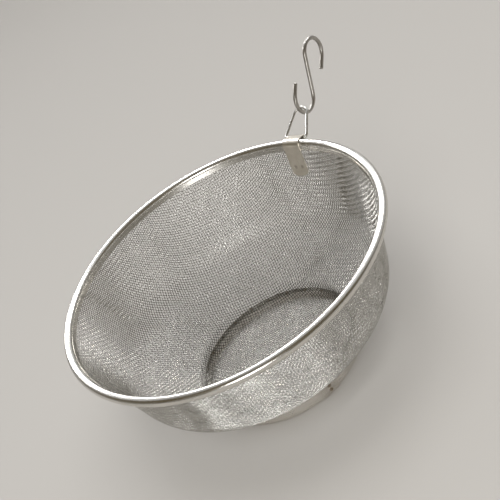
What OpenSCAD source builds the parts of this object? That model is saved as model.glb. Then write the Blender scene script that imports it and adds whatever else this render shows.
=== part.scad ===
/* [Rim] */
// Radius of the circle that the rim tube's centre follows
rim_r = 109.6; // [90:0.2:130]
// Radius of the rolled rim tube
tube_r = 3; // [2.6:0.1:4]
// Height of the rim tube's centre above the table
rim_z = 94; // [85:0.5:110]
// Thickness of the sheath that is rolled round the rim
sheath_t = 0.5; // [0.4:0.05:0.6]
// Radius of the wire in the middle of the rim
core_r = 1.45; // [1.2:0.05:1.5]
// Length of the sheath's two lips along the mesh
lip_len = 1.3; // [0.8:0.1:2]

/* [Mesh] */
// Thickness of the woven wire cloth, nearly two wires deep
mesh_t = 0.9; // [0.7:0.05:1]
// Height of the underside of the flat bottom above the table
floor_z = 3.2; // [2:0.1:5]
// Radius of the flat bottom
floor_r = 52.8; // [45:0.1:53]
// Height of the crease above the small step round the bottom
step_z = 14; // [12.5:0.1:16]
// Slope of the wide shoulder under the wall, from level
shoulder_slope = 34; // [28:1:38]
// Radius of the corner where the wall joins the shoulder
shoulder_fillet = 25; // [12:1:30]

/* [Foot] */
// Outside radius of the foot band
foot_r = 55.5; // [55.3:0.1:56]
// Height of the foot band
foot_h = 9; // [7:0.5:10]
// Thickness of the foot band's strip
foot_t = 0.6; // [0.4:0.1:0.7]
// Direction of the outer end of the band's overlap, from +X
lap_end = -18; // [-90:1:60]
// Angle that the two ends of the band overlap
lap_angle = 13; // [8:1:20]
// Number of spot welds that hold the band to the mesh
foot_welds = 24; // [12:1:36]

/* [Clip] */
// Width of the clip's strip
clip_w = 13; // [10:0.5:14]
// Thickness of the clip's strip
clip_t = 0.7; // [0.6:0.1:0.9]
// Length of the leg that lies along the inside of the mesh
leg_len = 22; // [16:0.5:28]
// Angle by which the leg leans to one side
leg_lean = 8; // [0:1:10]
// Distance of the knuckle's axis outside the rim tube's centre
knuckle_out = 5.1; // [5.1:0.1:7]
// Height of the knuckle's axis above the rim tube's centre
knuckle_up = 0.9; // [0.7:0.1:2]

/* [Hanging loop] */
// Diameter of the loop's wire
loop_d = 2; // [1.8:0.1:2.2]
// Distance from the knuckle's axis to the middle of the top bend
loop_len = 22.2; // [19:0.1:26]
// Half the length of the bar, to the middle of each side
loop_half = 9; // [8.8:0.1:11]
// Radius of the loop's top bend, to the middle of the wire
loop_top_r = 5.4; // [3:0.1:6]
// Tilt of the loop above level
loop_tilt = 28; // [0:1:60]

/* [S-hook] */
// Diameter of the hook's wire
hook_d = 2.8; // [2.4:0.1:3]
// Radius of the lower bend, to the middle of the wire
low_r = 10.6; // [8:0.1:12]
// Radius of the upper bend, to the middle of the wire
top_r = 10.2; // [7:0.1:12]
// Distance between the centres of the bends along the hook
hook_rise = 32.3; // [31:0.1:40]
// Distance between the centres of the bends across the hook
hook_shift = 8.4; // [6:0.1:10]
// Tilt of the hook above level
hook_tilt = 41; // [30:1:60]

/* [Hidden] */

slip = 0.05;       // gap between parts that lie on each other
hair = 0.01;       // a straight run is thinner than its bends by this on each side
root = 0.05;       // and runs into them by this much
round_fn = 96;
wire_fn = 48;

// Steepness of the wall over the shoulder and under the rim, and the bow between them.
flank_low = 77.6;
flank_top = 70.5;
bow_r = 320;
crease_r = 2;      // radius of the small creases round the bottom
step_steep = 80;   // steepness of the step round the bottom

hem_mid = core_r + slip + mesh_t / 2;          // middle of the cloth round the core wire
bore_r = tube_r - sheath_t;
lip_root = 0.4;                                 // how far a lip starts inside the tube's wall
lip_end = tube_r + lip_len - lip_root;          // lips' edge, down the wall from the hem

// Plane outlines are [distance from the axis, height] pairs.
function dir(a) = [cos(a), sin(a)];
function left(v) = [-v[1], v[0]];
function unit(v) = v / norm(v);
function turn(a, b, c) = sign(cross(b - a, c - b));
// Where two lines meet, each given by a point and a slope angle.
function meet(p, a, q, b) = p + dir(a) * cross(q - p, dir(b)) / cross(dir(a), dir(b));
// Corner b of the outline a, b, c, moved to the left by t.
function miter(a, b, c, t) =
    let(u = left(unit(b - a)), w = left(unit(c - b))) b + (u + w) * t / (1 + u * w);
// Round corner at b: points on an arc of radius r that touches both sides.
function bend(a, b, c, r, n) =
    let(u = unit(b - a), w = unit(c - b), s = turn(a, b, c), half = acos(u * w) / 2,
        centre = b - u * r * tan(half) + left(u) * s * r,
        start = atan2(-left(u)[1] * s, -left(u)[0] * s))
    [for (i = [0:n]) centre + r * dir(start + s * 2 * half * i / n)];

rim_centre = [rim_r, rim_z];
tangent_pt = rim_centre + hem_mid * dir(flank_top + 90);   // cloth touches its hem here
step_foot = [floor_r, floor_z + mesh_t / 2];
step_top = meet(step_foot, step_steep, [0, step_z], 0);
wall_low = [97.4, 62.5];                                   // a point on the low flank
shoulder = meet(step_top, shoulder_slope, wall_low, flank_low);
wall_bow = meet(shoulder, flank_low, tangent_pt, flank_top);

// Corners of the cloth's middle line, with the radius and the arc steps of each.
corners = [[0, step_foot[1]], step_foot, step_top, shoulder, wall_bow, tangent_pt];
corner_r = [0, crease_r, crease_r, shoulder_fillet, bow_r, 0];
corner_n = [0, 4, 4, 12, 6, 0];

function cloth_corner(i, t) =
    i == 0 ? corners[0] + [0, t]
    : i == len(corners) - 1 ? corners[i] + t * left(unit(corners[i] - corners[i - 1]))
    : miter(corners[i - 1], corners[i], corners[i + 1], t);

// The cloth's line moved to the left by t, with every corner rounded.
function cloth_line(t) =
    let(p = [for (i = [0:len(corners) - 1]) cloth_corner(i, t)])
    [p[0],
     for (i = [1:len(p) - 2])
         let(s = turn(p[i - 1], p[i], p[i + 1]))
         each bend(p[i - 1], p[i], p[i + 1], corner_r[i] - s * t, corner_n[i]),
     p[len(p) - 1]];

// Where things lie along the straight flank under the rim, from the hem downwards.
module along_flank() {
    translate(tangent_pt) rotate(flank_top + 180) children();
}

// Ring with a plane outline in the [distance, height] plane.
module ring() {
    rotate_extrude($fn = round_fn) children();
}

module washer_2d(outer, inner) {
    difference() {
        circle(outer, $fn = wire_fn);
        circle(inner, $fn = wire_fn);
    }
}

// Part of a washer between two directions.
module sector_2d(centre, outer, inner, a0, a1) {
    far = 2 * outer;
    steps = ceil(abs(a1 - a0) / 45);
    translate(centre) intersection() {
        washer_2d(outer, inner);
        polygon([[0, 0], for (i = [0:steps]) far * dir(a0 + (a1 - a0) * i / steps)]);
    }
}

module rim_sheath() {
    slot = mesh_t + 2 * slip;
    module lip(side) {
        y = side * (slot + sheath_t) / 2;
        start = sqrt(tube_r * tube_r - (hem_mid - y) * (hem_mid - y)) - lip_root;
        along_flank() translate([start, y - sheath_t / 2]) square([lip_end - start, sheath_t]);
    }
    color("gainsboro") ring() {
        difference() {
            translate(rim_centre) washer_2d(tube_r, bore_r);
            along_flank() translate([0, -slot / 2]) square([lip_end, slot]);
        }
        lip(-1);
        lip(1);
    }
}

module rim_core_wire() {
    color("darkgray") ring() translate(rim_centre) circle(core_r, $fn = wire_fn);
}

// Woven cloth, pressed to a bowl from one disc, with its edge wrapped round the core wire.
module mesh_basket() {
    inner = cloth_line(mesh_t / 2);
    outer = cloth_line(-mesh_t / 2);
    color("silver") ring() {
        polygon(concat(outer, [for (i = [len(inner) - 1:-1:0]) inner[i]]));
        intersection() {
            translate(rim_centre) washer_2d(hem_mid + mesh_t / 2, hem_mid - mesh_t / 2);
            along_flank() translate([-2 * tube_r, -tube_r]) square([2 * tube_r, 3 * tube_r]);
        }
    }
}

// Strip bent to a ring, with one end joggled outwards to lap over the other.
module foot_band() {
    over = foot_t + slip;
    lap_start = lap_end - lap_angle;
    joggle = 4;    // angle over which the strip steps outwards
    bite = 0.2;    // angle by which the step runs into the strip on both sides
    gap = 1;       // angle between the step and the strip's inner end
    inside = foot_r - foot_t;
    function at(r, a) = r * dir(a);
    color("lightgray") linear_extrude(foot_h) {
        sector_2d([0, 0], foot_r, inside, lap_start + gap, lap_start - joggle + 360);
        polygon([at(inside + hair, lap_start - joggle - bite), at(foot_r - hair, lap_start - joggle - bite),
                 at(foot_r + over - hair, lap_start + bite), at(inside + over + hair, lap_start + bite)]);
        sector_2d([0, 0], foot_r + over, inside + over, lap_start, lap_end);
    }
}

// Nuggets that join the band to the step of the cloth.
module foot_ring_welds() {
    nugget_d = 1.8;
    nugget_z = foot_h - 1.2;
    cloth_r = floor_r + (nugget_z - step_foot[1]) / tan(step_steep) + mesh_t / 2;
    color("gray") for (i = [0:foot_welds - 1]) {
        rotate((i + 0.5) * 360 / foot_welds) translate([cloth_r + 2 * slip, 0, nugget_z])
            rotate([0, 90, 0]) cylinder(d = nugget_d, h = foot_r - foot_t - cloth_r - 3 * slip,
                                        $fn = 24);
    }
}

// Two buttons where the lap is spot-welded.
module foot_lap_welds() {
    button_d = 2.6;
    button_t = 0.2;
    color("dimgray") for (z = [0.3, 0.7]) {
        rotate(lap_end - lap_angle / 2) translate([foot_r + slip + foot_t, 0, z * foot_h])
            rotate([0, 90, 0]) cylinder(d = button_d, h = button_t, $fn = 32);
    }
}

// From here on, plane outlines are [outwards, up] over the +Y side of the rim.
module over_rim() {
    rotate([90, 0, 90]) children();
}

// The strip is straight and the rim is round, so the strip leaves room for the rim's bow.
rim_bow = rim_r - sqrt(rim_r * rim_r - clip_w * clip_w / 4);
clip_centre = rim_centre - [rim_bow / 2, 0];
clip_in = tube_r + rim_bow / 2 + slip;        // radius of the strip's inside face
eye_in = loop_d / 2 + 0.08;                   // running fit on the loop's wire
knuckle = rim_centre + [knuckle_out, knuckle_up];
arm = knuckle - clip_centre;
arm_rise = atan2(arm[1], arm[0]);
leave = arm_rise + acos((clip_in - eye_in) / norm(arm));   // strip leaves the tube here
weld_down = 15.5;                             // how far down the leg it is welded
weld_side = 2.6;                              // half the distance between its two welds
// The leg is a strip with a sheared outline: sideways place of a point x down the leg.
function aside(x, y) = [x, y + x * tan(leg_lean)];

// Where things lie down the leg's outer face, which touches the strip's round stretch.
module along_leg() {
    translate(clip_centre + clip_in * dir(flank_top + 90)) rotate(flank_top + 180) children();
}

// One of the leg's two welds, at height y over the leg's outer face.
module at_weld(s, y) {
    p = aside(weld_down, s * weld_side);
    translate([p[0], y, p[1]]) children();
}

module hanger_clip() {
    corner = 4.5;
    dimple_d = 2.4;
    dimple_t = 0.15;
    curl_end = 195;
    beyond = 3 * (eye_in + clip_t);
    bridge = norm(arm) * sin(leave - arm_rise);
    module sheared(x0, x1, half) {
        polygon([aside(x0, -half), aside(x1, -half), aside(x1, half), aside(x0, half)]);
    }
    color("lightgray") over_rim() {
        translate([0, 0, -clip_w / 2]) linear_extrude(clip_w) {
            sector_2d(clip_centre, clip_in + clip_t, clip_in, flank_top + 90, leave);
            translate(clip_centre) rotate(leave - 90) translate([-root, clip_in + hair])
                square([bridge + 2 * root, clip_t - 2 * hair]);
            difference() {
                translate(knuckle) washer_2d(eye_in + clip_t, eye_in);
                translate(knuckle) polygon([[0, 0], for (i = [0:2])
                                            beyond * dir(leave + i * (curl_end - leave) / 2)]);
            }
        }
        along_leg() difference() {
            translate([0, -hair, 0]) rotate([90, 0, 0]) linear_extrude(clip_t - 2 * hair) {
                sheared(-root, leg_len - corner, clip_w / 2);
                sheared(0, leg_len, clip_w / 2 - corner);
                for (s = [-1, 1]) {
                    translate(aside(leg_len - corner, s * (clip_w / 2 - corner)))
                        circle(corner, $fn = wire_fn);
                }
            }
            for (s = [-1, 1]) {
                at_weld(s, dimple_t - clip_t) rotate([90, 0, 0]) cylinder(d = dimple_d, h = 1, $fn = 32);
            }
        }
    }
}

// Nuggets between the leg and the cloth, which bows away from the leg's straight line.
module clip_welds() {
    nugget_d = 1.8;
    bow_start = norm(tangent_pt - wall_bow) - bow_r * tan((flank_low - flank_top) / 2);
    bowed = pow(weld_down - bow_start, 2) / (2 * bow_r);
    side = aside(weld_down, weld_side + nugget_d / 2)[1];
    rounded = side * side / (2 * rim_r);   // cloth's own roundness, sideways
    cloth_face = clip_in - hem_mid + rim_bow / 2 * sin(flank_top) - mesh_t / 2;
    color("gray") over_rim() along_leg() {
        for (s = [-1, 1]) {
            at_weld(s, slip) rotate([-90, 0, 0])
                cylinder(d = nugget_d, h = cloth_face + bowed - rounded - 3 * slip, $fn = 24);
        }
    }
}

// Straight run of wire from p to q between two bends, in the XY plane.
module straight(p, q, d) {
    v = q - p;
    translate([p[0], p[1], 0]) rotate(atan2(v[1], v[0])) translate([-root, 0, 0])
        rotate([0, 90, 0]) cylinder(d = d - 2 * hair, h = norm(v) + 2 * root, $fn = wire_fn);
}

// Wire bent on an arc of radius r about p, in the XY plane.
module curved(p, r, a0, a1, d) {
    translate([p[0], p[1], 0]) rotate(a0) rotate_extrude(angle = a1 - a0, $fn = round_fn)
        translate([r, 0]) circle(d = d, $fn = wire_fn);
}

// Closed ring of wire: a bar held in the knuckle, two sides and a round top.
module hanging_loop() {
    corner = 2;
    top = [0, loop_len - loop_top_r];
    foot = [loop_half, 0];
    side = atan2(top[1], -loop_half) - asin(loop_top_r / norm(top - foot));
    inside = 180 - side;                      // angle between the bar and a side
    back = corner / tan(inside / 2);
    bend_pt = foot + dir(side + inside / 2) * corner / sin(inside / 2);
    color("silver") translate([0, knuckle[0], knuckle[1]]) rotate([loop_tilt, 0, 0]) {
        straight([back - loop_half, 0], [loop_half - back, 0], loop_d);
        curved(top, loop_top_r, side - 90, 270 - side, loop_d);
        for (m = [0, 1]) {
            mirror([m, 0, 0]) {
                straight(foot + back * dir(side), top + loop_top_r * dir(side - 90), loop_d);
                curved(bend_pt, corner, -90, side - 90, loop_d);
            }
        }
    }
}

// S of wire whose lower bend hangs in the loop's top.
module s_hook() {
    ease = 0.3;                               // gap between the hook and the loop's wire
    seat = low_r - (loop_d + hook_d) / 2 - ease;
    off = 2.7;                                // the loop lies this far off the bend's lowest point
    low = [off, sqrt(seat * seat - off * off)];   // centre of the lower bend, from the loop
    high = low + [hook_shift, hook_rise];
    lean = atan2(hook_rise, hook_shift) + asin((low_r + top_r) / norm(high - low)) - 90;
    low_tip = 7;
    high_tip = 9;
    edge = 0.6;
    module tip(p, a) {
        translate([p[0], p[1], 0]) rotate(a) rotate([0, 90, 0]) rotate_extrude($fn = wire_fn) {
            square([hook_d / 2 - edge, edge]);
            intersection() {
                translate([hook_d / 2 - edge, 0]) circle(edge, $fn = wire_fn);
                square(hook_d);
            }
        }
    }
    reach = loop_len * dir(loop_tilt);
    color("darkgray")
    translate([0, knuckle[0] + reach[0], knuckle[1] + reach[1]]) over_rim() rotate(hook_tilt - 90) {
        straight(low + [-low_r, low_tip], low - [low_r, 0], hook_d);
        tip(low + [-low_r, low_tip], 90);
        curved(low, low_r, 180, 360 + lean, hook_d);
        straight(low + low_r * dir(lean), high - top_r * dir(lean), hook_d);
        curved(high, top_r, 0, 180 + lean, hook_d);
        straight(high + [top_r, 0], high + [top_r, -high_tip], hook_d);
        tip(high + [top_r, -high_tip], -90);
    }
}

rim_sheath();
rim_core_wire();
mesh_basket();
foot_band();
foot_ring_welds();
foot_lap_welds();
hanger_clip();
clip_welds();
hanging_loop();
s_hook();
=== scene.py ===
"""Looks of the basket strainer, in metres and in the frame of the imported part.

The bowl's woven wire cloth is made wire by wire. The other pieces keep their CAD shapes and get
procedural steel. The stage is a pale floor under soft studio light.
"""

import math

import bpy
import numpy as np
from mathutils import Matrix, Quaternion, Vector


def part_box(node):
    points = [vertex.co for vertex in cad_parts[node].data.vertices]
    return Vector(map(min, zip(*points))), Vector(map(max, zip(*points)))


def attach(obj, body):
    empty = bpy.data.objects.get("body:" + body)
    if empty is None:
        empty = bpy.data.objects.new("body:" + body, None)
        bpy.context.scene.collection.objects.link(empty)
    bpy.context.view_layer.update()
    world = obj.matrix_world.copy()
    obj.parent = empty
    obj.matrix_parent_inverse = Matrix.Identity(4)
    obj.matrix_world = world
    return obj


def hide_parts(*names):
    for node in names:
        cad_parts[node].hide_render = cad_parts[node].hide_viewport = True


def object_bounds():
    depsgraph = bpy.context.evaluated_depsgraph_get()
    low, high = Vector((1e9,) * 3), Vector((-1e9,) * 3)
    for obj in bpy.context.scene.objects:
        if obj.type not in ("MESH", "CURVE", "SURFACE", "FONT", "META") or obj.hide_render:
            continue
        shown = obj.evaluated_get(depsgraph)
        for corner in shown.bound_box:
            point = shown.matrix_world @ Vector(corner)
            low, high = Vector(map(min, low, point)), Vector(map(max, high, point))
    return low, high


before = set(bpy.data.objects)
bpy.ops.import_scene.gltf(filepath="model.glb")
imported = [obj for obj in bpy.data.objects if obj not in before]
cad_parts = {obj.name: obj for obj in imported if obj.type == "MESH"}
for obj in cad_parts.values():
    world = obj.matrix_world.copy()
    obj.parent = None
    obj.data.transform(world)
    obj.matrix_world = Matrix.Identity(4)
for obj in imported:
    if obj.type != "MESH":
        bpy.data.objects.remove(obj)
cad_box = [list(corner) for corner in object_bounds()]

# Camera: it looks down into the bowl from the front right, leaning to its own right.
AIM = Vector((-0.0458, 0.0647, 0.0366))
DISTANCE = 0.77
AZIMUTH, ELEVATION, ROLL = (math.radians(a) for a in (49.87, 33.93, -33.1))
LENS = 78.05


def direction(azimuth, elevation):
    """Unit vector towards a place round the object: azimuth 0 is on the -Y side, 90 on the +X side."""
    level = math.cos(elevation)
    return Vector((math.sin(azimuth) * level, -math.cos(azimuth) * level, math.sin(elevation)))


def make_camera():
    camera = bpy.data.objects.new("camera", bpy.data.cameras.new("camera"))
    bpy.context.scene.collection.objects.link(camera)
    back = direction(AZIMUTH, ELEVATION)
    camera.location = AIM + DISTANCE * back
    camera.rotation_mode = "QUATERNION"
    camera.rotation_quaternion = back.to_track_quat("Z", "Y") @ Quaternion((0, 0, 1), ROLL)
    camera.data.lens = LENS
    camera.data.clip_start = 0.05
    bpy.context.scene.camera = camera


make_camera()

# ---------------------------------------------------------------- shader helpers

# Dark colours that the steels take in places: heat tint, raw cut edges, and painted shade for the cloth's
# creases.
HEATED = (0.2, 0.15, 0.09)
RAW_EDGE = (0.1, 0.085, 0.06)
# Painted shade that darkens the cloth round its creases.
PAINTED_CREASE_SHADE = (0.07, 0.065, 0.05)


def add(tree, kind, inputs=None, **settings):
    """New shader node. Inputs are values or the sockets that feed them."""
    made = tree.nodes.new("ShaderNode" + kind)
    for name, value in settings.items():
        setattr(made, name, value)
    for name, value in (inputs or {}).items():
        if isinstance(value, bpy.types.NodeSocket):
            tree.links.new(value, made.inputs[name])
        else:
            made.inputs[name].default_value = value
    return made


def maths(tree, operation, a, b=0.0):
    return add(tree, "Math", {0: a, 1: b}, operation=operation).outputs[0]


def noise(tree, at, scale, detail=3.0, roughness=0.5):
    made = add(tree, "TexNoise", {"Vector": at, "Scale": scale, "Detail": detail, "Roughness": roughness})
    return made.outputs["Fac"]


def spread(tree, value, low, high, to_low=0.0, to_high=1.0):
    """The value's range from low to high stretched to another one, and held at its ends."""
    made = add(tree, "MapRange", {0: value, 1: low, 2: high, 3: to_low, 4: to_high})
    return made.outputs[0]


def blend_colours(tree, share, a, b):
    """Colour between a and b, which are (red, green, blue) or sockets."""
    ends = {place: end if isinstance(end, bpy.types.NodeSocket) else (*end, 1)
            for place, end in ((6, a), (7, b))}
    return add(tree, "Mix", {0: share, **ends}, data_type="RGBA").outputs[2]


def new_steel(name):
    """(material, node tree, shader, object coordinates) of a bare metal."""
    material = bpy.data.materials.new(name)
    material.use_nodes = True
    tree = material.node_tree
    shader = tree.nodes["Principled BSDF"]
    shader.inputs["Metallic"].default_value = 1.0
    at = add(tree, "TexCoord").outputs["Object"]
    return material, tree, shader, at


def from_axis(tree, at):
    """Distance from the bowl's axis."""
    x, y, _ = add(tree, "SeparateXYZ", {0: at}).outputs
    squares = [maths(tree, "MULTIPLY", side, side) for side in (x, y)]
    return maths(tree, "SQRT", maths(tree, "ADD", *squares))


def round_the_axis(tree, at, along, across):
    """Coordinates that turn with the bowl's axis, so that a noise on them runs in hoops."""
    x, y, z = add(tree, "SeparateXYZ", {0: at}).outputs
    radius = from_axis(tree, at)
    angle = maths(tree, "ARCTAN2", y, x)
    joined = add(tree, "CombineXYZ", {0: maths(tree, "MULTIPLY", radius, across),
                                      1: maths(tree, "MULTIPLY", angle, along),
                                      2: maths(tree, "MULTIPLY", z, across)})
    return joined.outputs[0]


def distance_to(tree, at, point):
    return add(tree, "VectorMath", {0: at, 1: point}, operation="DISTANCE").outputs["Value"]


def finish_steel(tree, shader, colour, rough, height, depth):
    """Feeds the shader. height runs over 0 to 1, and depth is the relief of it."""
    tree.links.new(colour, shader.inputs["Base Color"])
    tree.links.new(rough, shader.inputs["Roughness"])
    bump = add(tree, "Bump", {"Height": height, "Strength": 1.0, "Distance": depth})
    tree.links.new(bump.outputs[0], shader.inputs["Normal"])


def heat_tints(tree, at, shade, tints):
    """Brown stains round welds. tints are (point, radius, strength)."""
    for point, radius, strength in tints:
        near = spread(tree, distance_to(tree, at, point), radius * 0.25, radius, strength, 0.0)
        ragged = spread(tree, noise(tree, at, 700.0, 4.0), 0.25, 0.7, 0.35, 1.0)
        shade = blend_colours(tree, maths(tree, "MULTIPLY", near, ragged), shade, HEATED)
    return shade


def polished_strip(name, colour, dull, tints=(), cut_edge=None):
    """Polished sheet steel with hoop-wise polishing lines and faint smears.

    Over the height cut_edge lies the strip's cut edge, which isn't polished."""
    material, tree, shader, at = new_steel(name)
    smears = noise(tree, at, 45.0, 4.0)
    hoops = noise(tree, round_the_axis(tree, at, 3.0, 4500.0), 1.0, 3.0, 0.65)
    shade = blend_colours(tree, spread(tree, smears, 0.3, 0.75), colour, dull)
    shade = heat_tints(tree, at, shade, tints)
    rough = maths(tree, "ADD", spread(tree, smears, 0.3, 0.75, 0.17, 0.27),
                  spread(tree, hoops, 0.3, 0.7, 0.0, 0.08))
    if cut_edge:
        height = add(tree, "SeparateXYZ", {0: at}).outputs[2]
        edge = spread(tree, height, cut_edge - 0.0001, cut_edge)
        shade = blend_colours(tree, edge, shade, RAW_EDGE)
        rough = maths(tree, "ADD", rough, maths(tree, "MULTIPLY", edge, 0.3))
    finish_steel(tree, shader, shade, rough, hoops, 0.000004)
    return material


def brushed_strip(name, colour, dull, tints):
    """Duller sheet steel, brushed along a strip that runs across the X axis."""
    material, tree, shader, at = new_steel(name)
    stretched = add(tree, "VectorMath", {0: at, 1: (2200.0, 90.0, 90.0)}, operation="MULTIPLY").outputs[0]
    lines = noise(tree, stretched, 1.0, 3.0, 0.6)
    smears = noise(tree, at, 160.0, 4.0)
    shade = blend_colours(tree, spread(tree, smears, 0.35, 0.7), colour, dull)
    shade = heat_tints(tree, at, shade, tints)
    rough = maths(tree, "ADD", spread(tree, smears, 0.3, 0.7, 0.26, 0.36),
                  spread(tree, lines, 0.3, 0.7, 0.0, 0.08))
    finish_steel(tree, shader, shade, rough, lines, 0.000002)
    return material


def drawn_wire(name, colour, dull, gloss, depth=0.000012, painted_shade_ring=None):
    """Satin wire: fine drawing marks of a depth, and dull patches from handling.

    painted_shade_ring is (radius, half width, strength) of a dark ring of painted shade round the
    creases, where the cloth falls into shade."""
    material, tree, shader, at = new_steel(name)
    patches = noise(tree, at, 130.0, 4.0)
    grain = noise(tree, at, 2600.0, 3.0, 0.6)
    shade = blend_colours(tree, spread(tree, patches, 0.35, 0.7), colour, dull)
    # Painted shade: the colour darkens in a ring round the creases, where the cloth falls into shade.
    if painted_shade_ring:
        radius, half, strength = painted_shade_ring
        off = maths(tree, "ABSOLUTE", maths(tree, "SUBTRACT", from_axis(tree, at), radius))
        near = spread(tree, off, half * 0.7, half, strength, 0.0)
        shade = blend_colours(tree, near, shade, PAINTED_CREASE_SHADE)
    rough = maths(tree, "ADD", spread(tree, patches, 0.3, 0.7, gloss, gloss + 0.12),
                  spread(tree, grain, 0.3, 0.7, 0.0, 0.1))
    finish_steel(tree, shader, shade, rough, grain, depth)
    return material


def weld_spot(name):
    material, tree, shader, at = new_steel(name)
    rings = noise(tree, at, 900.0, 5.0, 0.6)
    shade = blend_colours(tree, spread(tree, rings, 0.35, 0.65), (0.5, 0.44, 0.36), (0.27, 0.22, 0.16))
    finish_steel(tree, shader, shade, spread(tree, rings, 0.3, 0.7, 0.35, 0.6), rings, 0.00005)
    return material


def box_centre(node):
    low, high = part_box(node)
    return (low + high) / 2


def paint(node, material):
    """Gives a CAD node its material, in every slot it has."""
    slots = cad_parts[node].material_slots
    if not slots:
        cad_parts[node].data.materials.append(material)
    for slot in slots:
        slot.material = material


# ---------------------------------------------------------------- woven wire cloth

PITCH = 0.00193            # between neighbouring wires on the flat bottom
WIRE_R = 0.00025
BANDS = 4                  # pieces that each family of wires is made in
WEAVE_TURN = math.radians(-49)   # direction of the warp wires, from +X
SIDES = 6                  # of a wire's section
EVENED = 0.3               # share of the way from a purely sheared cloth to an evenly drawn one
CLOTH_T = 0.0009           # less than two wires: the press flattens the crossings
LIFT = CLOTH_T / 2 - WIRE_R

# Pressed shape of the bowl: slopes from level and corner radii, as in the CAD part.
SLIP = 0.00005             # gap between pieces that lie on each other
STEP_HEIGHT, STEP_STEEP = 0.014, math.radians(80)
SHOULDER_SLOPE = math.radians(34)
LOW_WALL, TOP_WALL = math.radians(77.6), math.radians(70.5)
LOW_WALL_POINT = np.array((0.0974, 0.0625))   # radius and height of a place on the low wall's line
CREASE_R, SHOULDER_R, BOW_R = 0.002, 0.025, 0.32
FLAT_R = 0.0528
SURELY_FLAT_R = 0.95 * FLAT_R
TUCK = 0.0003              # how far a wire's end runs on inside the rim
SPARE = 20 * PITCH         # how far the net is worked out past the rim
FEWEST_POINTS = 4          # of a wire that is worth making
SOLVER_STEPS = 12
CLOSE_ENOUGH = 1e-9        # what a squared pitch may miss by, in square metres
LEAST_DETERMINANT = 1e-15  # keeps the solver from dividing by nothing


def on_plane(angle):
    return np.array((math.cos(angle), math.sin(angle)))


def cross(a, b):
    return a[0] * b[1] - a[1] * b[0]


def meet(p, a, q, b):
    """Where the line through p at slope a meets the line through q at slope b."""
    return p + on_plane(a) * cross(q - p, on_plane(b)) / cross(on_plane(a), on_plane(b))


def rounded(a, b, c, radius, steps):
    """Points on the arc that rounds corner b of the outline a, b, c."""
    u = (b - a) / np.linalg.norm(b - a)
    w = (c - b) / np.linalg.norm(c - b)
    side = math.copysign(1, cross(u, w))
    half = math.acos(u @ w) / 2
    out = side * np.array((-u[1], u[0]))
    centre = b - u * radius * math.tan(half) + out * radius
    start = math.atan2(-out[1], -out[0])
    return [centre + radius * on_plane(start + side * 2 * half * i / steps) for i in range(steps + 1)]


def cloth_outline():
    """Points (radius, height) of the cloth's middle line, from the bowl's axis to SPARE past the rim."""
    core_low, core_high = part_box("rim_core_wire")
    core_r = (core_high.z - core_low.z) / 2
    rim_centre = np.array((core_high.x - core_r, (core_low.z + core_high.z) / 2))
    hem_r = core_r + SLIP + CLOTH_T / 2
    tangent = rim_centre + hem_r * on_plane(TOP_WALL + math.pi / 2)
    flat_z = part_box("mesh_basket")[0].z + CLOTH_T / 2
    axis = np.array((0, flat_z))
    step_foot = np.array((FLAT_R, flat_z))
    step_top = meet(step_foot, STEP_STEEP, np.array((0, STEP_HEIGHT)), 0)
    shoulder = meet(step_top, SHOULDER_SLOPE, LOW_WALL_POINT, LOW_WALL)
    bow = meet(shoulder, LOW_WALL, tangent, TOP_WALL)
    past = tangent + SPARE * on_plane(TOP_WALL)
    corners = [axis, step_foot, step_top, shoulder, bow, past]
    line = [axis]
    for i, (radius, steps) in enumerate(((CREASE_R, 8), (CREASE_R, 8), (SHOULDER_R, 40), (BOW_R, 40))):
        line += rounded(*corners[i:i + 3], radius, steps)
    return np.array(line + [past])


class Surface:
    """The bowl as a surface of revolution: s is the distance from the axis along the cloth."""

    def __init__(self):
        self.line = cloth_outline()
        self.s = np.r_[0, np.cumsum(np.linalg.norm(np.diff(self.line, axis=0), axis=1))]
        self.rim_s = self.s[-1] - SPARE

    def line_at(self, s):
        """Radius, height, and how both change with s."""
        step = 0.00005
        before, at, after = (np.stack([np.interp(place, self.s, self.line[:, k]) for k in (0, 1)])
                             for place in (s - step, s, s + step))
        return *at, *((after - before) / (2 * step))

    def point(self, s, turn):
        r, z, _, _ = self.line_at(s)
        return np.stack((r * np.cos(turn), r * np.sin(turn), z), -1)

    def normal(self, s, turn):
        """Unit normal on the inner side."""
        _, _, dr, dz = self.line_at(s)
        size = np.hypot(dr, dz)
        return np.stack((-dz * np.cos(turn), -dz * np.sin(turn), dr), -1) / size[..., None]


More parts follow.
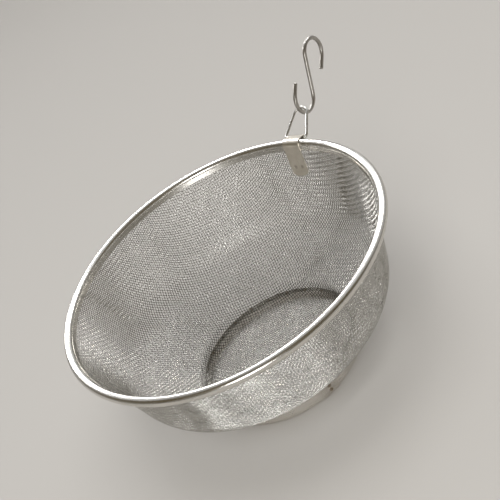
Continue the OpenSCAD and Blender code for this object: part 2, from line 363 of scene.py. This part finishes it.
def press_net(surface):
    """Crossings of the cloth in one quarter, as (s, turn) for crossing i, j.

    Cloth shears but its wires don't stretch. So each crossing lies one pitch from the two before it,
    and the whole net follows from the two wires through the middle of the bottom."""
    count = int(surface.s[-1] / PITCH)
    most = PITCH / 3           # the solver's longest step
    s = np.full((count, count), np.nan)
    turn = np.full((count, count), np.nan)
    s[:, 0] = s[0, :] = np.arange(count) * PITCH
    turn[:, 0], turn[0, :] = 0, math.pi / 2
    point = surface.point(s, turn)
    for diagonal in range(2, 2 * count - 1):
        i = np.arange(max(1, diagonal - count + 1), min(count - 1, diagonal - 1) + 1)
        j = diagonal - i
        known = ~np.isnan(s[i - 1, j] + s[i, j - 1] + s[i - 1, j - 1])
        i, j = i[known], j[known]
        if not len(i):
            continue
        a, b, c = point[i - 1, j], point[i, j - 1], point[i - 1, j - 1]
        guess = a + b - c
        new_turn = np.arctan2(guess[:, 1], guess[:, 0])
        reach = np.hypot(guess[:, 0], guess[:, 1])
        new_s = np.where(reach < SURELY_FLAT_R, reach, s[i - 1, j] + s[i, j - 1] - s[i - 1, j - 1])
        # Newton's method, for the place that is one pitch from both a and b.
        for _ in range(SOLVER_STEPS):
            r, z, dr, dz = surface.line_at(new_s)
            cos, sin = np.cos(new_turn), np.sin(new_turn)
            p = np.stack((r * cos, r * sin, z), -1)
            along = np.stack((dr * cos, dr * sin, dz), -1)
            around = np.stack((-r * sin, r * cos, 0 * r), -1)
            miss_a = ((p - a) ** 2).sum(-1) - PITCH ** 2
            miss_b = ((p - b) ** 2).sum(-1) - PITCH ** 2
            aa, ab = 2 * ((p - a) * along).sum(-1), 2 * ((p - a) * around).sum(-1)
            ba, bb = 2 * ((p - b) * along).sum(-1), 2 * ((p - b) * around).sum(-1)
            determinant = aa * bb - ab * ba
            determinant = np.where(abs(determinant) < LEAST_DETERMINANT, LEAST_DETERMINANT, determinant)
            new_s = new_s - np.clip((miss_a * bb - miss_b * ab) / determinant, -most, most)
            new_turn = new_turn - np.clip((aa * miss_b - ba * miss_a) / determinant, -most / r, most / r)
        missed = np.maximum(abs(miss_a), abs(miss_b))
        met = (missed < CLOSE_ENOUGH) & (new_s < surface.s[-1] - PITCH)
        i, j, new_s, new_turn = i[met], j[met], new_s[met], new_turn[met]
        s[i, j], turn[i, j] = new_s, new_turn
        point[i, j] = surface.point(new_s, new_turn)
    return s, turn


def whole_net(surface):
    """All four quarters: s and turn of crossing (i, j), both counted from minus to plus half.

    Some of the cloth's sheared excess is drawn out evenly round the bowl, as a press does."""
    s, turn = press_net(surface)
    half = len(s) - 1
    i, j = np.mgrid[0:half + 1, 0:half + 1]
    s = s + EVENED * (PITCH * np.hypot(i, j) - s)
    turn = turn + EVENED * (np.arctan2(j, i) - turn)
    full_s = np.full((2 * half + 1, 2 * half + 1), np.nan)
    full_turn = full_s.copy()
    for quarter in range(4):
        ii, jj = ((i, j), (-j, i), (-i, -j), (j, -i))[quarter]
        full_s[ii + half, jj + half] = s
        full_turn[ii + half, jj + half] = turn + quarter * math.pi / 2
    return full_s, full_turn + WEAVE_TURN, half


def wire_lines(surface, s, turn, half, family):
    """One array of points and one of surface normals for every wire of a family.

    A wire has a point at each crossing, lifted or sunk, and one halfway between."""
    lines = []
    for k in range(2 * half + 1):
        own_s, own_turn = (s[:, k], turn[:, k]) if family == "warp" else (s[k, :], turn[k, :])
        place = np.flatnonzero(~np.isnan(own_s))
        if len(place) < FEWEST_POINTS:
            continue
        own_s, own_turn = own_s[place], own_turn[place]
        over = np.where((place + k) % 2 == (family == "warp"), 1.0, -1.0)
        p, n = surface.point(own_s, own_turn), surface.normal(own_s, own_turn)
        middle = (p[1:] + p[:-1]) / 2
        between = n[1:] + n[:-1]
        points = np.empty((2 * len(p) - 1, 3))
        normals = points.copy()
        points[::2], points[1::2] = p + LIFT * over[:, None] * n, middle
        normals[::2], normals[1::2] = n, between / np.linalg.norm(between, axis=1)[:, None]
        reach = np.empty(len(points))
        reach[::2], reach[1::2] = own_s, (own_s[1:] + own_s[:-1]) / 2
        lines.append(cut_at_rim(points, normals, reach, surface.rim_s + TUCK))
    return [line for line in lines if line is not None]


def cut_at_rim(points, normals, reach, limit):
    """The stretch of a wire inside the limit, with its two ends exactly on it."""
    inside = np.flatnonzero(reach <= limit)
    if len(inside) < FEWEST_POINTS:
        return None
    first, last = inside[0], inside[-1]
    keep = slice(first, last + 1)
    parts = [[points[keep]], [normals[keep]]]
    for at, beyond, front in ((first, first - 1, True), (last, last + 1, False)):
        if not 0 <= beyond < len(reach):
            continue
        share = (limit - reach[at]) / (reach[beyond] - reach[at])
        for part, source in zip(parts, (points, normals)):
            end = (source[at] + share * (source[beyond] - source[at]))[None]
            part.insert(0 if front else len(part), end)
    return np.concatenate(parts[0]), np.concatenate(parts[1])


def sweep(lines):
    """Vertices, quads, end caps and UVs of round wires along the lines."""
    ring = np.arange(SIDES) * 2 * math.pi / SIDES
    vertices, quads, quad_uvs, caps = [], [], [], []
    start = 0
    longest = max(len(points) for points, _ in lines)
    margin = 0.1               # of a wire's row in the UV map, on each side
    for row, (points, normals) in enumerate(lines):
        tangents = np.gradient(points, axis=0)
        tangents /= np.linalg.norm(tangents, axis=1)[:, None]
        side = np.cross(tangents, normals)
        side /= np.linalg.norm(side, axis=1)[:, None]
        up = np.cross(side, tangents)
        hoop = (np.cos(ring)[None, :, None] * up[:, None] + np.sin(ring)[None, :, None] * side[:, None])
        vertices.append((points[:, None] + WIRE_R * hoop).reshape(-1, 3))
        count = len(points)
        k, m = np.meshgrid(np.arange(count - 1), np.arange(SIDES), indexing="ij")
        k, m = k.ravel(), m.ravel()
        after = (m + 1) % SIDES
        quads.append(start + np.stack((k * SIDES + m, (k + 1) * SIDES + m,
                                       (k + 1) * SIDES + after, k * SIDES + after), -1))
        u0, u1 = k / longest, (k + 1) / longest
        v0, v1 = ((row + margin + (1 - 2 * margin) * edge / SIDES) / len(lines) for edge in (m, m + 1))
        quad_uvs.append(np.stack((u0, v0, u1, v0, u1, v1, u0, v1), -1).reshape(-1, 4, 2))
        caps.append(start + np.arange(SIDES))
        caps.append(start + (count - 1) * SIDES + np.arange(SIDES)[::-1])
        start += count * SIDES
    return np.concatenate(vertices), np.concatenate(quads), np.concatenate(quad_uvs), np.array(caps)


def wire_piece(name, lines, material):
    """A mesh object of many wires. Its UV map lays each wire in a row of its own."""
    vertices, quads, quad_uvs, caps = sweep(lines)
    mesh = bpy.data.meshes.new(name)
    mesh.vertices.add(len(vertices))
    mesh.vertices.foreach_set("co", vertices.astype(np.float32).ravel())
    corners = np.concatenate((quads.ravel(), caps.ravel()))
    starts = np.concatenate((np.arange(len(quads)) * 4, quads.size + np.arange(len(caps)) * SIDES))
    mesh.loops.add(len(corners))
    mesh.loops.foreach_set("vertex_index", corners.astype(np.int32))
    mesh.polygons.add(len(starts))
    mesh.polygons.foreach_set("loop_start", starts.astype(np.int32))
    mesh.update(calc_edges=True)
    uvs = np.zeros((len(corners), 2), np.float32)
    uvs[:quads.size] = quad_uvs.reshape(-1, 2)
    mesh.uv_layers.new(name="OFBake").data.foreach_set("uv", uvs.ravel())
    mesh.validate()
    mesh.shade_smooth()
    piece = bpy.data.objects.new(name, mesh)
    bpy.context.scene.collection.objects.link(piece)
    mesh.materials.append(material)
    return piece


def weave_bowl(material):
    """The cloth's pieces: the warp and the weft, each in bands of neighbouring wires."""
    surface = Surface()
    s, turn, half = whole_net(surface)
    for family in ("warp", "weft"):
        lines = wire_lines(surface, s, turn, half, family)
        for band, chosen in enumerate(np.array_split(np.arange(len(lines)), BANDS)):
            piece = wire_piece(f"{family}_wires_{band + 1}", [lines[k] for k in chosen], material)
            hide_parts("mesh_basket")
            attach(piece, "strainer")


# ---------------------------------------------------------------- pieces

lap = box_centre("foot_lap_welds")
weld_low, weld_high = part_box("clip_welds")
weld_middle = box_centre("clip_welds")
nugget_r = 0.0009
clip_spots = [((x, weld_middle.y, weld_middle.z), 0.0022, 0.75)
              for x in (weld_low.x + nugget_r, weld_high.x - nugget_r)]
foot_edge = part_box("foot_band")[1].z - 0.0001
polished = polished_strip("polished_steel", (0.74, 0.72, 0.68), (0.62, 0.6, 0.56))
# The foot band's steel is a lighter copy of the polished steel: painted light that makes up for the shade
# the band stands in.
foot_steel = polished_strip("foot_steel", (0.92, 0.9, 0.86), (0.8, 0.77, 0.72),
                            tints=[(lap, 0.011, 0.3)], cut_edge=foot_edge)
clip_steel = brushed_strip("clip_steel", (0.8, 0.75, 0.67), (0.7, 0.65, 0.57), clip_spots)
bright_wire = drawn_wire("loop_wire", (0.72, 0.71, 0.68), (0.6, 0.59, 0.56), 0.16)
hook_wire = drawn_wire("hook_wire", (0.5, 0.48, 0.45), (0.36, 0.34, 0.31), 0.24)
# The weave's dark ring round the step's creases is painted shade.
weave_wire = drawn_wire("weave_wire", (0.59, 0.58, 0.55), (0.44, 0.43, 0.4), 0.12, depth=0.000001,
                        painted_shade_ring=(0.0538, 0.0022, 0.4))
weld = weld_spot("weld")

paint("rim_sheath", polished)
paint("rim_core_wire", bright_wire)
paint("foot_band", foot_steel)
paint("foot_ring_welds", weld)
paint("foot_lap_welds", weld)
paint("hanger_clip", clip_steel)
paint("clip_welds", weld)
paint("hanging_loop", bright_wire)
paint("s_hook", hook_wire)
weave_bowl(weave_wire)

# ---------------------------------------------------------------- stage and light


def make_floor():
    """A big pale floor just under the part."""
    half = 6.0
    below = 0.0002
    mesh = bpy.data.meshes.new("floor")
    corners = [(-half, -half, 0), (half, -half, 0), (half, half, 0), (-half, half, 0)]
    mesh.from_pydata(corners, [], [(0, 1, 2, 3)])
    floor = bpy.data.objects.new("floor", mesh)
    bpy.context.scene.collection.objects.link(floor)
    floor.location.z = cad_box[0][2] - below
    material = bpy.data.materials.new("floor")
    material.use_nodes = True
    shader = material.node_tree.nodes["Principled BSDF"]
    shader.inputs["Base Color"].default_value = (0.465, 0.446, 0.418, 1)
    shader.inputs["Roughness"].default_value = 0.8
    mesh.materials.append(material)


def softbox(name, towards, distance, size, power):
    """Round lamp in a direction from the part, facing it."""
    light = bpy.data.lights.new(name, "AREA")
    light.shape, light.size = "DISK", size
    light.energy = power
    lamp = bpy.data.objects.new(name, light)
    bpy.context.scene.collection.objects.link(lamp)
    centre = (Vector(cad_box[0]) + Vector(cad_box[1])) / 2
    way = Vector(towards).normalized()
    lamp.location = centre + way * distance
    lamp.rotation_mode = "QUATERNION"
    lamp.rotation_quaternion = way.to_track_quat("Z", "Y")
    return lamp


WINDOW = (-0.4, 0.7, 0.58)     # where the surroundings are brightest
NEAR, FAR = 1.3, 2.4           # distances of the lamps


def make_sky():
    """Surroundings: pale on the window's side and at the horizon, dark and warm on the other side."""
    world = bpy.data.worlds.new("studio")
    bpy.context.scene.world = world
    world.use_nodes = True
    tree = world.node_tree
    towards = add(tree, "TexCoord").outputs["Generated"]
    facing = add(tree, "VectorMath", {0: towards, 1: WINDOW}, operation="DOT_PRODUCT").outputs["Value"]
    shade = blend_colours(tree, spread(tree, facing, 0.3, 0.8), (0.17, 0.14, 0.09), (0.95, 0.96, 0.99))
    height = add(tree, "SeparateXYZ", {0: towards}).outputs[2]
    shade = blend_colours(tree, spread(tree, height, 0.05, 0.3), (0.45, 0.44, 0.42), shade)
    tree.links.new(shade, tree.nodes["Background"].inputs["Color"])
    tree.nodes["Background"].inputs["Strength"].default_value = 0.75


make_floor()
make_sky()
# Small lights make the metal's highlights, and large ones light the floor without a sharp shadow.
for name, towards, size, power in (("key", (-0.05, 0.74, 0.67), 0.4, 7.5),
                                   ("left", (-0.62, 0.5, 0.6), 0.4, 7),
                                   ("side", (-0.9, 0.1, 0.45), 0.35, 3.5),
                                   ("front", (0.45, -0.8, 0.4), 0.4, 5)):
    softbox(name, towards, NEAR, size, power).visible_diffuse = False
for name, towards, size, power in (("top", (0.1, 0.0, 1.0), 2.4, 37),
                                   ("fill", (0.5, -0.65, 0.75), 1.6, 29)):
    softbox(name, towards, FAR, size, power).visible_glossy = False
bpy.context.scene.view_settings.view_transform = "Standard"
